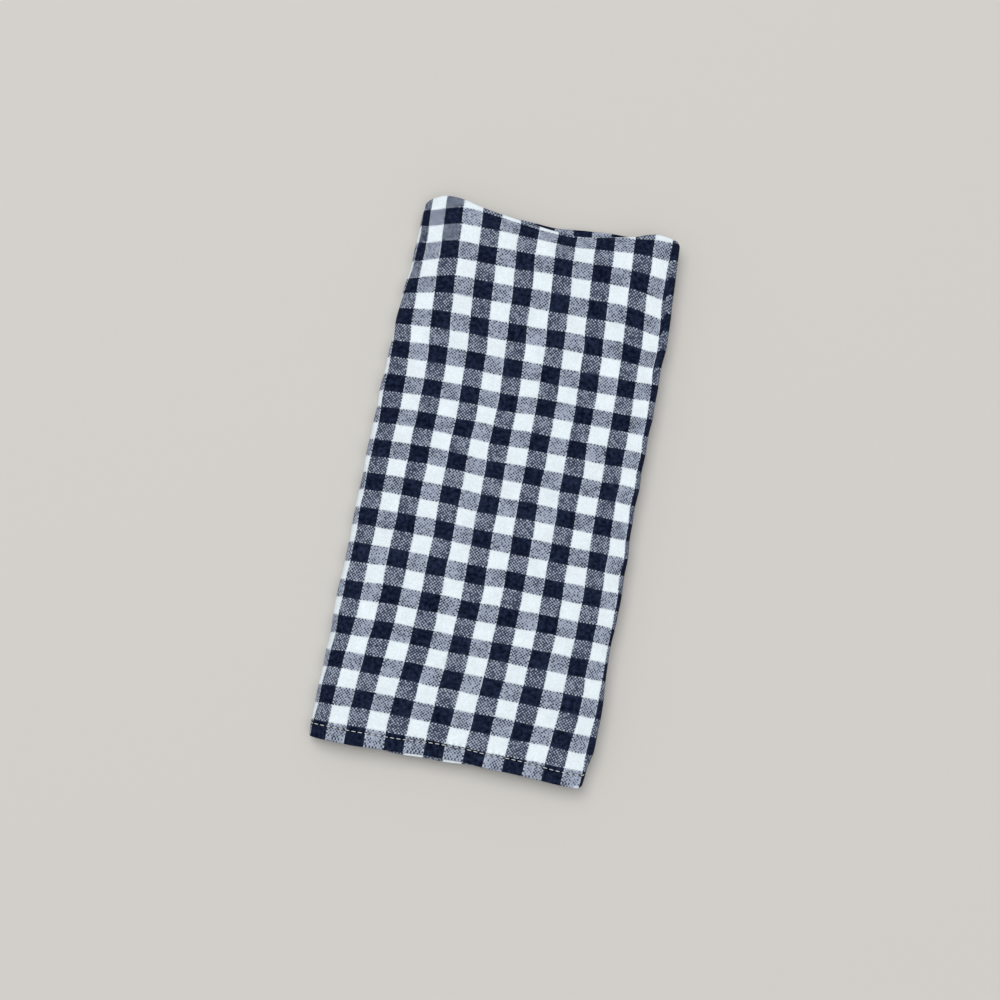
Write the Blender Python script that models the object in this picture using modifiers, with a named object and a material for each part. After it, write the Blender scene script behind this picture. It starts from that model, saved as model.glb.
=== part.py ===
"""Cloth napkin: one square of hemmed gingham, folded into eight layers and lying flat.

The cloth is folded in half towards its back, which makes the fold at the top of the pile.
It is then folded in half twice across, which makes the two folds on the left, one inside
the other, and the fold on the right, where the two free edges lie under it.  It is one
piece, so it is one back-and-forth sheet whose layers lie a little apart.

Sizes in the tables are millimetres.  X runs across the pile, Y from the hems to the top
fold and Z up from the surface that it lies on.
"""
import bisect
import math
from collections import namedtuple

import bmesh
import bpy

MM = 0.001

# The cloth, its hems and how closely the layers lie, from centre to centre.
CLOTH_THICKNESS = 1.0
HEM_THICKNESS = 1.15
HEM_WIDTH = 6.0
HEM_SLOPE = 1.0
LAYER_PITCH = 1.30

# How high the middle of each two-layer ply lies, counted in layer pitches from the lowest
# layer, and the small folds' radius and reach in the same unit.
BOTTOM_LEVEL = 0.5
INNER_LEVEL = 2.5
SECOND_LEVEL = 4.5
FRONT_LEVEL = 6.5
SMALL_FOLD_RADIUS = (SECOND_LEVEL - INNER_LEVEL) / 2
SMALL_FOLD_REACH = SMALL_FOLD_RADIUS + BOTTOM_LEVEL

# How far the inner fold and the two free edges lie inside the pile's sides.
INNER_FOLD_INSET = 6.0
UPPER_FREE_EDGE_INSET = 5.0
LOWER_FREE_EDGE_INSET = 2.0

# The top layers sink a little before they roll over the left side.
LEFT_SHOULDER_DROP = 1.0

# In the middle of the top edge the two upper plies hang over the two lower ones.
TOP_DROOP = 3.2
TOP_DROOP_LENGTH = 10.0
TOP_DROOP_CENTRE = 8.0
TOP_DROOP_HALF_WIDTH = 38.0
LOWER_PLY_SETBACK = 9.0

# The sides of the pile, read along it from the hems to the top fold.
Side = namedtuple("Side", "along left right")
SIDES = (
    Side(0, -60.9, 50.2),
    Side(8, -61.1, 51.2),
    Side(16, -61.3, 53.0),
    Side(30, -60.9, 53.0),
    Side(55, -60.6, 52.4),
    Side(80, -60.1, 52.9),
    Side(105, -59.8, 52.5),
    Side(130, -59.4, 52.5),
    Side(155, -58.6, 53.0),
    Side(180, -58.0, 53.5),
    Side(195, -57.2, 53.3),
    Side(210, -55.8, 52.7),
    Side(229, -55.3, 51.7),
)

# The top fold of the front ply, of the ply behind it and of the two lower plies.
TopFold = namedtuple("TopFold", "across front second lower")
TOP_FOLDS = (
    TopFold(-56, 223.8, 222.5, 222.5),
    TopFold(-48, 228.0, 224.5, 224.0),
    TopFold(-40, 228.5, 225.0, 224.5),
    TopFold(-30, 226.5, 225.2, 224.5),
    TopFold(-15, 224.3, 225.5, 224.5),
    TopFold(0, 223.4, 225.3, 224.5),
    TopFold(10, 222.4, 226.1, 224.5),
    TopFold(20, 223.9, 226.8, 224.5),
    TopFold(32, 226.2, 226.3, 224.5),
    TopFold(41, 228.5, 226.3, 224.5),
    TopFold(49, 227.4, 226.0, 224.0),
    TopFold(53, 225.0, 225.0, 223.5),
)

# The hemmed edge of the front layer, and of the layer that shows below it.
HemEdge = namedtuple("HemEdge", "across front under")
HEM_EDGES = (
    HemEdge(-61, 0.3, 1.6),
    HemEdge(-40, 0.0, 0.9),
    HemEdge(-25, 0.3, -0.3),
    HemEdge(-12, 1.0, 0.0),
    HemEdge(0, 1.0, 0.2),
    HemEdge(9, 0.5, 1.0),
    HemEdge(25, 0.2, 1.6),
    HemEdge(38, -1.0, 1.0),
    HemEdge(47, -1.3, 0.9),
    HemEdge(53, 0.4, 1.8),
)

# The hems of the other plies, on their face layer and on their back layer.
PlyHem = namedtuple("PlyHem", "ply face back")
PLY_HEMS = {
    row.ply: row
    for row in (
        PlyHem("inner", 2.6, 1.9),
        PlyHem("second", 1.8, 2.2),
        PlyHem("bottom", 1.2, 2.4),
    )
}

# Where the layers stand further apart, as soft swellings of the pile.
Swelling = namedtuple("Swelling", "across along half_width half_length opening")
SWELLINGS = (
    Swelling(-8, 110, 55, 130, 0.10),
    Swelling(-40, 206, 20, 26, 0.10),
    Swelling(34, 214, 18, 22, 0.06),
    Swelling(-42, 70, 18, 34, 0.04),
    Swelling(26, 62, 22, 30, 0.05),
)

# Steps of the mesh along each stretch of the fold, and up and down each ply.
FLAT_STEPS = 8
FRONT_STEPS = 12
SMALL_FOLD_STEPS = 8
BIG_FOLD_STEPS = 10
TOP_FOLD_STEPS = 6
PLY_SHARES = (0.0, 0.12, 0.25, 0.38, 0.51, 0.64, 0.77, 0.88, 0.935, 0.965, 1.0)

CLOTH_COLOUR = (0.20, 0.23, 0.31, 1.0)
CLOTH_ROUGHNESS = 0.9


def lookup(table, column, at):
    """Reads a named column on a smooth curve through the table's rows."""
    keys = [row[0] for row in table]
    values = [getattr(row, column) for row in table]
    at = min(max(at, keys[0]), keys[-1])
    after = min(max(bisect.bisect_left(keys, at), 1), len(keys) - 1)
    before = after - 1
    span = keys[after] - keys[before]

    def slope(i):
        low, high = max(i - 1, 0), min(i + 1, len(keys) - 1)
        return (values[high] - values[low]) / (keys[high] - keys[low])

    t = (at - keys[before]) / span
    rise = t * t * (3 - 2 * t)
    start_pull = t * (1 - t) * (1 - t) * span * slope(before)
    end_pull = t * t * (t - 1) * span * slope(after)
    return values[before] + (values[after] - values[before]) * rise + start_pull + end_pull


def ease(t):
    """A smooth step from 0 to 1."""
    t = min(max(t, 0.0), 1.0)
    return t * t * (3 - 2 * t)


def hump(distance, half_width):
    """A smooth hump, 1 at its middle and 0 from its half width outwards."""
    return ease(1 - abs(distance) / half_width)


def pitch(x, y):
    """How far apart the layers lie at a place on the pile."""
    opened = sum(
        s.opening * hump(x - s.across, s.half_width) * hump(y - s.along, s.half_length)
        for s in SWELLINGS
    )
    return LAYER_PITCH + opened


def top_droop(x, y):
    """How far the two upper plies hang down near the middle of the top edge."""
    edge = lookup(TOP_FOLDS, "second", x)
    near_edge = ease(1 - (edge - y) / TOP_DROOP_LENGTH)
    return TOP_DROOP * near_edge * hump(x - TOP_DROOP_CENTRE, TOP_DROOP_HALF_WIDTH)


def lower_top(x):
    """The top fold of the two lower plies, which lies back where the upper ones hang."""
    setback = LOWER_PLY_SETBACK * hump(x - TOP_DROOP_CENTRE, TOP_DROOP_HALF_WIDTH)
    return lookup(TOP_FOLDS, "lower", x) - setback


def fractions(steps):
    """Even shares of a stretch, with both of its ends."""
    return [i / steps for i in range(steps + 1)]


# One column of the sheet: the stretch of the fold that it is on, how far along it,
# and how far it lies from a free edge of the cloth.
Column = namedtuple("Column", "stretch share from_free_edge")


def sheet_columns():
    """The columns of the sheet, from the upper free edge to the lower one."""
    hem_marks = (0.0, HEM_WIDTH, HEM_WIDTH + HEM_SLOPE)
    columns = [Column("inner", 0.0, mark) for mark in hem_marks]
    columns += [Column("inner", share, None) for share in fractions(FLAT_STEPS - 1)[1:]]
    stretches = (
        ("inner_fold", SMALL_FOLD_STEPS),
        ("second", FLAT_STEPS),
        ("right_fold", SMALL_FOLD_STEPS),
        ("front", FRONT_STEPS),
        ("left_fold", BIG_FOLD_STEPS),
        ("bottom", FLAT_STEPS - 1),
    )
    for name, steps in stretches:
        columns += [Column(name, share, None) for share in fractions(steps)[1:]]
    columns.pop()
    columns += [Column("bottom", 1.0, mark) for mark in reversed(hem_marks)]
    return columns


def between(start, end, share):
    """A place on the way from one value to another."""
    return start + (end - start) * share


def ply_point(column, y):
    """A column's place in the pile's cross section, half way between its two layers.

    Returns x, z above the lowest layer, the way from the back layer to the face layer,
    and the pitch of the layers there.
    """
    left, right = lookup(SIDES, "left", y), lookup(SIDES, "right", y)
    half_cloth = CLOTH_THICKNESS / 2
    gap = pitch(left, y)
    roll_radius = ((FRONT_LEVEL - BOTTOM_LEVEL) * gap - LEFT_SHOULDER_DROP) / 2
    roll_x = left + half_cloth + gap / 2 + roll_radius
    inner_x = left + INNER_FOLD_INSET + half_cloth + SMALL_FOLD_REACH * gap
    right_gap = pitch(right, y)
    right_x = right - half_cloth - SMALL_FOLD_REACH * right_gap
    turn = math.pi * column.share
    sine, cosine = math.sin(turn), math.cos(turn)
    if column.stretch == "inner_fold":
        gap = pitch(inner_x, y)
        level = INNER_LEVEL + SMALL_FOLD_RADIUS
        return inner_x - gap * sine, level * gap - gap * cosine, (sine, cosine), gap
    if column.stretch == "right_fold":
        level = SECOND_LEVEL + SMALL_FOLD_RADIUS
        return (right_x + right_gap * sine, level * right_gap - right_gap * cosine,
                (sine, -cosine), right_gap)
    if column.stretch == "left_fold":
        return (roll_x - roll_radius * sine, BOTTOM_LEVEL * gap + roll_radius * (1 + cosine),
                (-sine, cosine), gap)
    inset = column.from_free_edge or 0.0
    if column.stretch == "inner":
        free_edge = right - UPPER_FREE_EDGE_INSET
        hemmed = free_edge - HEM_WIDTH - HEM_SLOPE
        x = between(hemmed, inner_x, column.share)
        if column.from_free_edge is not None:
            x = free_edge - inset
        return x, INNER_LEVEL * pitch(x, y), (0.0, 1.0), pitch(x, y)
    if column.stretch == "bottom":
        free_edge = right - LOWER_FREE_EDGE_INSET
        hemmed = free_edge - HEM_WIDTH - HEM_SLOPE
        x = between(roll_x, hemmed, column.share)
        if column.from_free_edge is not None:
            x = free_edge - inset
        return x, BOTTOM_LEVEL * pitch(x, y), (0.0, -1.0), pitch(x, y)
    if column.stretch == "second":
        x = between(inner_x, right_x, column.share)
        return x, SECOND_LEVEL * pitch(x, y), (0.0, -1.0), pitch(x, y)
    x = between(right_x, roll_x, column.share)
    sunk = ease((inner_x - x) / (inner_x - roll_x)) * LEFT_SHOULDER_DROP
    return x, FRONT_LEVEL * pitch(x, y) - sunk, (0.0, 1.0), pitch(x, y)


def edges_of(column):
    """The top fold of a column and its hemmed edges on the face and back layers."""
    x = ply_point(column, 0.0)[0]
    front_hems = (lookup(HEM_EDGES, "front", x), lookup(HEM_EDGES, "under", x))
    x = ply_point(column, SIDES[-1].along)[0]
    front = (lookup(TOP_FOLDS, "front", x), *front_hems)
    second = (lookup(TOP_FOLDS, "second", x), *PLY_HEMS["second"][1:])
    inner = (lower_top(x), *PLY_HEMS["inner"][1:])
    bottom = (lower_top(x), *PLY_HEMS["bottom"][1:])
    ends = {
        "inner": (inner, inner),
        "inner_fold": (inner, second),
        "second": (second, second),
        "right_fold": (second, front),
        "front": (front, front),
        "left_fold": (front, bottom),
        "bottom": (bottom, bottom),
    }[column.stretch]
    share = ease(column.share)
    return [between(start, end, share) for start, end in zip(*ends)]


def hem_share(distance):
    """How much of the hem's extra thickness there is at a distance from the cloth's edge."""
    return 1 - ease((distance - HEM_WIDTH) / HEM_SLOPE)


def upper_ply_share(column):
    """How much of a column belongs to the two upper plies, which hang at the top edge."""
    if column.stretch in ("second", "right_fold", "front"):
        return 1.0
    return 0.0


def place(column, side, along, distance):
    """A point of the sheet: side is 1 on the face layer and -1 on the back layer."""
    x, z, (face_x, face_z), gap = ply_point(column, along)
    x += face_x * side * gap / 2
    z += face_z * side * gap / 2
    to_edge = distance
    if column.from_free_edge is not None:
        to_edge = min(distance, column.from_free_edge)
    hem = hem_share(to_edge)
    thickness = between(CLOTH_THICKNESS, HEM_THICKNESS, hem)
    z += thickness / 2 - upper_ply_share(column) * top_droop(x, along)
    return (x * MM, along * MM, z * MM), hem


def column_points(column):
    """A column's points from its face hem up, over the top fold and down to its back hem."""
    top, face_hem, back_hem = edges_of(column)
    gap = ply_point(column, top)[3]
    turn_centre = top - CLOTH_THICKNESS / 2 - gap / 2
    points = []

    def ply_layer(side, hem_edge):
        marks = [0.0, HEM_WIDTH]
        start = HEM_WIDTH + HEM_SLOPE
        length = turn_centre - hem_edge
        marks += [between(start, length, share) for share in PLY_SHARES]
        return [place(column, side, hem_edge + mark, mark) for mark in marks]

    points += ply_layer(1, face_hem)
    for i in range(1, TOP_FOLD_STEPS):
        turn = math.pi * i / TOP_FOLD_STEPS
        along = turn_centre + gap / 2 * math.sin(turn)
        points.append(place(column, math.cos(turn), along, turn_centre))
    points += reversed(ply_layer(-1, back_hem))
    return points


def clear_scene():
    """Removes what the scene holds before the model is made."""
    for old in list(bpy.data.objects):
        bpy.data.objects.remove(old, do_unlink=True)


def cloth_material():
    """A dull woven cotton in the middle tone of the checks."""
    material = bpy.data.materials.new("gingham_cotton")
    material.use_nodes = True
    shader = material.node_tree.nodes["Principled BSDF"]
    shader.inputs["Base Color"].default_value = CLOTH_COLOUR
    shader.inputs["Roughness"].default_value = CLOTH_ROUGHNESS
    shader.inputs["Metallic"].default_value = 0.0
    return material


def make_napkin(collection):
    """The folded sheet, as an open surface with the cloth's thickness added to both sides."""
    columns = [column_points(column) for column in sheet_columns()]
    mesh = bpy.data.meshes.new("napkin")
    shape = bmesh.new()
    grid = [[shape.verts.new(point) for point, hem in points] for points in columns]
    for one, other in zip(grid, grid[1:]):
        for i in range(len(one) - 1):
            shape.faces.new((one[i], one[i + 1], other[i + 1], other[i]))
    shape.to_mesh(mesh)
    shape.free()
    napkin = bpy.data.objects.new("napkin", mesh)
    collection.objects.link(napkin)
    hems = napkin.vertex_groups.new(name="hems")
    for index, (point, hem) in enumerate(p for points in columns for p in points):
        hems.add([index], hem, "REPLACE")
    cloth = napkin.modifiers.new("cloth_thickness", "SOLIDIFY")
    cloth.thickness = HEM_THICKNESS * MM
    cloth.offset = 0.0
    cloth.use_even_offset = True
    cloth.vertex_group = hems.name
    cloth.thickness_vertex_group = CLOTH_THICKNESS / HEM_THICKNESS
    mesh.shade_smooth()
    mesh.materials.append(cloth_material())
    return napkin


def centre_on_origin(napkin):
    """Moves the mesh so that the middle of the pile's underside box is the origin."""
    bpy.context.view_layer.update()
    box = napkin.evaluated_get(bpy.context.evaluated_depsgraph_get()).bound_box
    for axis in (0, 1):
        middle = (min(c[axis] for c in box) + max(c[axis] for c in box)) / 2
        for vertex in napkin.data.vertices:
            vertex.co[axis] -= middle


def main():
    clear_scene()
    collection = bpy.data.collections.new("ClothNapkin")
    bpy.context.scene.collection.children.link(collection)
    centre_on_origin(make_napkin(collection))


main()
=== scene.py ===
"""The looks of the folded gingham napkin: its cloth, weave, hems, stitches, floor and light."""

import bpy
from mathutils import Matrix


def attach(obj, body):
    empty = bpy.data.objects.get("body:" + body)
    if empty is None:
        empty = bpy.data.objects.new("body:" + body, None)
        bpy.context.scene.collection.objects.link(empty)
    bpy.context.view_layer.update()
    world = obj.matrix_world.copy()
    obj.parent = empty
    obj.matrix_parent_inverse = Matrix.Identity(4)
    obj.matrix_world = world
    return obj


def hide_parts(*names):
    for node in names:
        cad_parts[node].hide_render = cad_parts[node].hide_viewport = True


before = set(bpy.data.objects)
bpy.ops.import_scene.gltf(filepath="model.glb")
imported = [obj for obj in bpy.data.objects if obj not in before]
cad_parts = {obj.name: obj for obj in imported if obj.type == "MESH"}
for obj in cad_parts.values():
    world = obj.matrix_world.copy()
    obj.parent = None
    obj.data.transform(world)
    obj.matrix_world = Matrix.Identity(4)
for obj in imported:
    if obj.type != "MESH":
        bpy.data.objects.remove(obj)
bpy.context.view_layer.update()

import math
from collections import namedtuple

import bpy
import numpy as np
from mathutils import Matrix, Vector

MM = 0.001

# Sizes are millimetres in the napkin's own frame, before the pile is centred: X runs
# across, from the woven middle of the front, and Y runs from the hems to the top fold.

# The cloth and its rounded edge. Its hem is thicker, and steps down to the plain cloth
# sharply on the back, where the turned edge lies, and softly on the face.
CLOTH_THICKNESS = 0.80
EDGE_ROUNDING = 0.45
EDGE_LEAST = 0.30
HEM_WIDTH = 6.0
HEM_EXTRA = 0.42
HEM_SLOPE = 0.6
HEM_LEDGE = 0.08
TURNED_EDGE = 0.4

# The solid that it stands for, and how closely its layers lie, from centre to centre.
SOLID_THICKNESS = 1.0
LAYER_PITCH = 1.30
LAYERS_ABOVE_LOWEST = 7

# How high the middle of each two-layer ply lies, counted in layer pitches from the lowest
# layer, and the small folds' radius and reach in the same unit.
BOTTOM_LEVEL = 0.5
INNER_LEVEL = 2.5
SECOND_LEVEL = 4.5
FRONT_LEVEL = 6.5
SMALL_FOLD_RADIUS = (SECOND_LEVEL - INNER_LEVEL) / 2
SMALL_FOLD_REACH = SMALL_FOLD_RADIUS + BOTTOM_LEVEL

# How far the inner fold and the two free edges lie inside the pile's sides.
INNER_FOLD_INSET = 6.0
UPPER_FREE_EDGE_INSET = 5.0
LOWER_FREE_EDGE_INSET = 2.0

# The top layers sink a little before they roll over the left side.
LEFT_SHOULDER_DROP = 1.0

# In the middle of the top edge the two upper plies hang over the two lower ones.
TOP_DROOP = 3.2
TOP_DROOP_LENGTH = 10.0
TOP_DROOP_CENTRE = 8.0
TOP_DROOP_HALF_WIDTH = 38.0
LOWER_PLY_SETBACK = 9.0

# The sides of the pile, read along it, and how the weave runs between them: how far the
# columns bow to the right and spread, how far the rows shift up and tilt, and how much
# cloth the two sides take up as they turn down.
Side = namedtuple("Side", "along left right bow spread shift tilt left_take right_take")
SIDES = (
    Side(0, -60.9, 50.2, -2.50, 0.004, 0.0, -0.012, 0.6, 1.4),
    Side(8, -61.1, 51.2, -2.25, 0.012, -0.2, -0.018, 0.6, 1.6),
    Side(16, -61.3, 53.0, -1.75, 0.020, -0.4, -0.022, 0.7, 1.8),
    Side(30, -60.9, 53.0, -0.65, 0.022, -0.2, -0.019, 0.7, 2.2),
    Side(47, -60.7, 52.5, 0.48, 0.008, 0.0, -0.008, 0.6, 2.4),
    Side(62, -60.5, 52.6, 1.10, 0.006, 0.0, -0.008, 0.7, 2.6),
    Side(80, -60.1, 52.9, 1.25, 0.000, 0.3, -0.019, 0.7, 2.6),
    Side(105, -59.8, 52.5, 1.12, -0.010, 0.4, -0.022, 0.6, 2.6),
    Side(130, -59.4, 52.5, 1.15, -0.016, 0.0, -0.012, 0.6, 2.5),
    Side(148, -58.8, 52.8, 1.30, -0.021, -0.45, 0.000, 0.5, 2.3),
    Side(163, -58.4, 53.1, 0.90, -0.018, -0.85, 0.000, 0.4, 2.1),
    Side(178, -57.8, 53.5, 0.04, -0.009, -0.5, 0.004, 0.4, 2.1),
    Side(192, -56.9, 53.4, -0.86, -0.006, 0.2, 0.009, 1.0, 2.6),
    Side(207, -55.4, 52.8, -1.89, -0.006, 0.8, 0.010, 3.0, 2.8),
    Side(221, -55.2, 52.2, -2.61, 0.000, 0.8, 0.010, 2.9, 1.3),
    Side(229, -55.2, 51.7, -2.80, 0.000, 0.8, 0.010, 2.9, 1.0),
)

# How much cloth the two long folds take up as they turn down.
FoldTake = namedtuple("FoldTake", "along left right")
FOLD_TAKES = (
    FoldTake(0, 0.6, 1.0),
    FoldTake(10, 2.5, 1.1),
    FoldTake(22, 3.6, 1.2),
    FoldTake(35, 3.2, 1.3),
    FoldTake(50, 1.8, 1.5),
    FoldTake(75, 1.0, 1.7),
    FoldTake(130, 0.5, 1.7),
    FoldTake(160, 0.8, 1.2),
    FoldTake(178, 1.5, 0.8),
    FoldTake(192, 4.0, 0.6),
    FoldTake(207, 5.7, 0.5),
    FoldTake(229, 5.7, 0.4),
)

# The top fold of the front ply, of the ply behind it and of the two lower plies, and how
# much cloth the front ply takes up as it turns down to the fold.
TopFold = namedtuple("TopFold", "across front second lower take")
TOP_FOLDS = (
    TopFold(-56, 225.4, 222.5, 223.2, 0.0),
    TopFold(-48, 228.8, 224.5, 224.4, 0.0),
    TopFold(-40, 228.9, 225.0, 224.5, 0.2),
    TopFold(-30, 226.5, 225.2, 224.5, 1.5),
    TopFold(-15, 224.3, 225.5, 224.5, 4.2),
    TopFold(0, 223.4, 225.3, 224.5, 5.8),
    TopFold(10, 222.4, 226.1, 224.5, 5.5),
    TopFold(20, 223.9, 226.8, 224.5, 3.2),
    TopFold(32, 226.2, 226.3, 224.5, 1.2),
    TopFold(41, 228.5, 226.3, 224.5, 0.3),
    TopFold(49, 227.4, 226.0, 224.0, 0.0),
    TopFold(53, 225.0, 225.0, 223.5, 0.0),
)

# The hemmed edge of the front layer, and of the layer that shows below it.
HemEdge = namedtuple("HemEdge", "across front under")
HEM_EDGES = (
    HemEdge(-61, 0.3, 1.6),
    HemEdge(-40, 0.0, 0.9),
    HemEdge(-25, 0.3, -0.3),
    HemEdge(-12, 1.0, 0.0),
    HemEdge(0, 1.0, 0.2),
    HemEdge(9, 0.5, 1.0),
    HemEdge(25, 0.2, 1.6),
    HemEdge(38, -1.0, 1.0),
    HemEdge(47, -1.3, 0.9),
    HemEdge(53, -1.1, 1.6),
)

# The hems of the other plies, on their face layer and on their back layer.
PlyHem = namedtuple("PlyHem", "face back")
INNER_HEM = PlyHem(2.6, 1.9)
SECOND_HEM = PlyHem(1.8, 2.2)
BOTTOM_HEM = PlyHem(1.2, 2.4)

# Where the layers stand further apart, as soft swellings of the pile.
Swelling = namedtuple("Swelling", "across along half_width half_length opening")
SWELLINGS = (
    Swelling(-8, 110, 55, 130, 0.10),
    Swelling(-40, 206, 20, 26, 0.10),
    Swelling(34, 214, 18, 22, 0.06),
    Swelling(-42, 70, 18, 34, 0.04),
    Swelling(26, 62, 22, 30, 0.05),
)

# Soft creases of the top layers: where each lies, how it runs, its size and its height.
Crease = namedtuple("Crease", "across along turned half_length half_width height")
CREASES = (
    Crease(-34, 196, 62, 26, 5.0, 0.74),
    Crease(-46, 178, 75, 20, 4.0, 0.54),
    Crease(20, 205, 155, 24, 5.0, -0.61),
    Crease(44, 196, 100, 22, 4.0, 0.47),
    Crease(-20, 150, 20, 30, 7.0, 0.38),
    Crease(30, 128, 165, 28, 7.0, -0.34),
    Crease(-38, 96, 100, 34, 6.0, -0.38),
    Crease(40, 84, 85, 30, 5.0, 0.47),
    Crease(4, 70, 10, 34, 8.0, 0.34),
    Crease(-10, 34, 170, 36, 7.0, -0.30),
    Crease(38, 30, 70, 20, 5.0, 0.54),
    Crease(-48, 28, 95, 22, 5.0, 0.41),
)

# The check and the flat cloth. The woven middle of the front lies this far across the
# cloth, and a dark row is centred this far from the front hem's edge.
CHECK_WIDTH = 8.0
CHECK_LENGTH = 7.26
CLOTH_WIDTH = 432.0
CLOTH_LENGTH = 448.0
WOVEN_MIDDLE = 256.0
FRONT_HEM_ROW = 3.5

# Where the front ply starts to turn down at its sides, and the lengths over which the cloth
# that it takes up there and at the top fold builds up. In the long folds it builds up over
# a share of the turn.
LEFT_TAKE_START = -40.0
RIGHT_TAKE_START = 39.0
SIDE_TAKE_LENGTH = 12.0
TOP_TAKE_LENGTH = 12.0
RIGHT_FOLD_SHARE = 0.45
LEFT_FOLD_SHARE = 0.34

# Where a change of the weave starts, and the length over which it grows, which is negative
# where it grows to the left.
Growth = namedtuple("Growth", "start length")

# The second ply's columns and rows are shifted where they show.
SECOND_PLY_SHIFT = 8.1
SECOND_SHIFT_RIGHT = Growth(52.0, -24.0)
SECOND_SHIFT_LEFT = Growth(-50.0, 30.0)
SECOND_PLY_ROWS = -3.5
SECOND_ROWS_RIGHT = Growth(50.0, -22.0)
SECOND_ROWS_TOP = Growth(150.0, 50.0)

# The rows tilt between these places across, and they sag left of the middle.
TILT_LEFT = -56
TILT_RIGHT = 50
ROW_SAG = -0.6
ROW_SAG_CENTRE = -8.0
ROW_SAG_HALF_WIDTH = 15.0
ROW_SAG_ALONG = 115
ROW_SAG_HALF_LENGTH = 100

# The rows are drawn towards the hems at both sides, most near the top corners, and the
# cloth is drawn in at the front hem.
EDGE_PULL = 0.6
CORNER_PULL = 2.8
CORNER_PULL_ALONG = Growth(170.0, 28.0)
LEFT_PULL_ACROSS = Growth(-37.0, -18.0)
RIGHT_PULL = 2.9
RIGHT_PULL_ACROSS = Growth(32.0, 18.0)
RIGHT_PULL_ALONG = 196.0
RIGHT_PULL_HALF_LENGTH = 36.0
HEM_TAKE = 0.9
HEM_TAKE_LENGTH = 3.2

# Random waves: how many sines they are summed from, the shortest and the longest of them,
# and the seed of the draws.
Waves = namedtuple("Waves", "count shortest longest seed")
TOP_WAVES = Waves(9, 24, 60, 5)
LAYER_WAVES = Waves(14, 14, 40, 11)
ACROSS_WAVES = Waves(16, 11, 34, 21)
ALONG_WAVES = Waves(16, 11, 34, 22)
SIDE_WAVES = Waves(8, 12, 30, 31)
END_WAVES = Waves(8, 12, 30, 32)

# How high the waves are on top of the pile and in each layer, and how far they move the
# weave and the pile's edges.
TOP_WAVE_HEIGHT = 0.25
LAYER_WAVE_HEIGHT = 0.07
WEAVE_WANDER = 0.16
EDGE_WANDER = 0.22

# How far in from the sides and the ends the pile wanders with its edges, and how the wander
# changes with the height in the pile and with the distance from the edge.
SIDE_WANDER_REACH = 14
END_WANDER_REACH = 9
WANDER_BY_HEIGHT = 1.2
WANDER_BY_DISTANCE = 0.4

# Creases fade down through the pile, towards its top fold and towards its hems. The waves
# of the layers grow from none in the lowest one.
CREASE_FADE_POWER = 1.5
TOP_FADE_LENGTH = 6
HEM_FADE_LENGTH = 4
HEM_FADE_LEAST = 0.25
LAYER_WAVE_GROWTH = 4

# The cloth over the hems is lifted by the hems below it, and the seam is drawn in.
HEM_LIFT = 0.36
HEM_LIFT_LENGTH = 9
SEAM_DEPTH = 0.12
SEAM_HALF_WIDTH = 0.45

# The stretches of the sheet, from the upper free edge to the lower one.
INNER, INNER_FOLD, SECOND, RIGHT_FOLD, FRONT, LEFT_FOLD, BOTTOM = range(7)

# The mesh's steps along each stretch, up the two layers of a ply and over its top fold.
STRETCH_STEPS = {
    INNER: 25,
    INNER_FOLD: 14,
    SECOND: 25,
    RIGHT_FOLD: 14,
    FRONT: 84,
    LEFT_FOLD: 20,
    BOTTOM: 25,
}
FACE_ROWS = 128
BACK_ROWS = 44
TOP_FOLD_STEPS = 12

# How far from the cloth's edges its closer rows and columns lie. One carries the stitches.
STITCH_INSET = 5.4
EDGE_MARKS = (0.0, 0.08, 0.22, 0.45, 1.4, 2.6, 4.0, 4.9, STITCH_INSET, HEM_WIDTH,
              HEM_WIDTH + HEM_LEDGE, HEM_WIDTH + HEM_SLOPE, 7.4)


def ease(t):
    """A smooth step from 0 to 1."""
    t = np.clip(t, 0.0, 1.0)
    return t * t * (3 - 2 * t)


def hump(distance, half_width):
    """A smooth hump, 1 at its middle and 0 from its half width outwards."""
    return ease(1 - np.abs(distance) / half_width)


def grown(at, growth):
    """How much of a change there is at a place, from 0 to 1."""
    return ease((at - growth.start) / growth.length)


def between(start, end, share):
    """A place on the way from one value to another."""
    return start + (end - start) * share


def lookup(table, column, at):
    """Reads a named column on a smooth curve through the table's rows."""
    keys = np.array([row[0] for row in table], float)
    values = np.array([getattr(row, column) for row in table], float)
    slopes = np.empty_like(values)
    slopes[1:-1] = (values[2:] - values[:-2]) / (keys[2:] - keys[:-2])
    slopes[0] = (values[1] - values[0]) / (keys[1] - keys[0])
    slopes[-1] = (values[-1] - values[-2]) / (keys[-1] - keys[-2])
    at = np.clip(at, keys[0], keys[-1])
    after = np.clip(np.searchsorted(keys, at), 1, len(keys) - 1)
    before = after - 1
    span = keys[after] - keys[before]
    t = (at - keys[before]) / span
    rise = t * t * (3 - 2 * t)
    start_pull = t * (1 - t) * (1 - t) * span * slopes[before]
    end_pull = t * t * (t - 1) * span * slopes[after]
    return between(values[before], values[after], rise) + start_pull + end_pull


def waves(x, y, kind):
    """Soft random waves of about unit height, summed from sines of many lengths."""
    draw = np.random.default_rng(kind.seed)
    total = np.zeros(np.broadcast(x, y).shape)
    for _ in range(kind.count):
        length = draw.uniform(kind.shortest, kind.longest)
        turned = draw.uniform(0, math.pi)
        phase = draw.uniform(0, 2 * math.pi)
        way = (x * math.cos(turned) + y * math.sin(turned)) * 2 * math.pi / length
        total += np.sin(way + phase)
    return total / math.sqrt(kind.count)


def pitch(x, y):
    """How far apart the layers lie at a place on the pile."""
    opened = sum(
        s.opening * hump(x - s.across, s.half_width) * hump(y - s.along, s.half_length)
        for s in SWELLINGS
    )
    return LAYER_PITCH + opened


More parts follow.
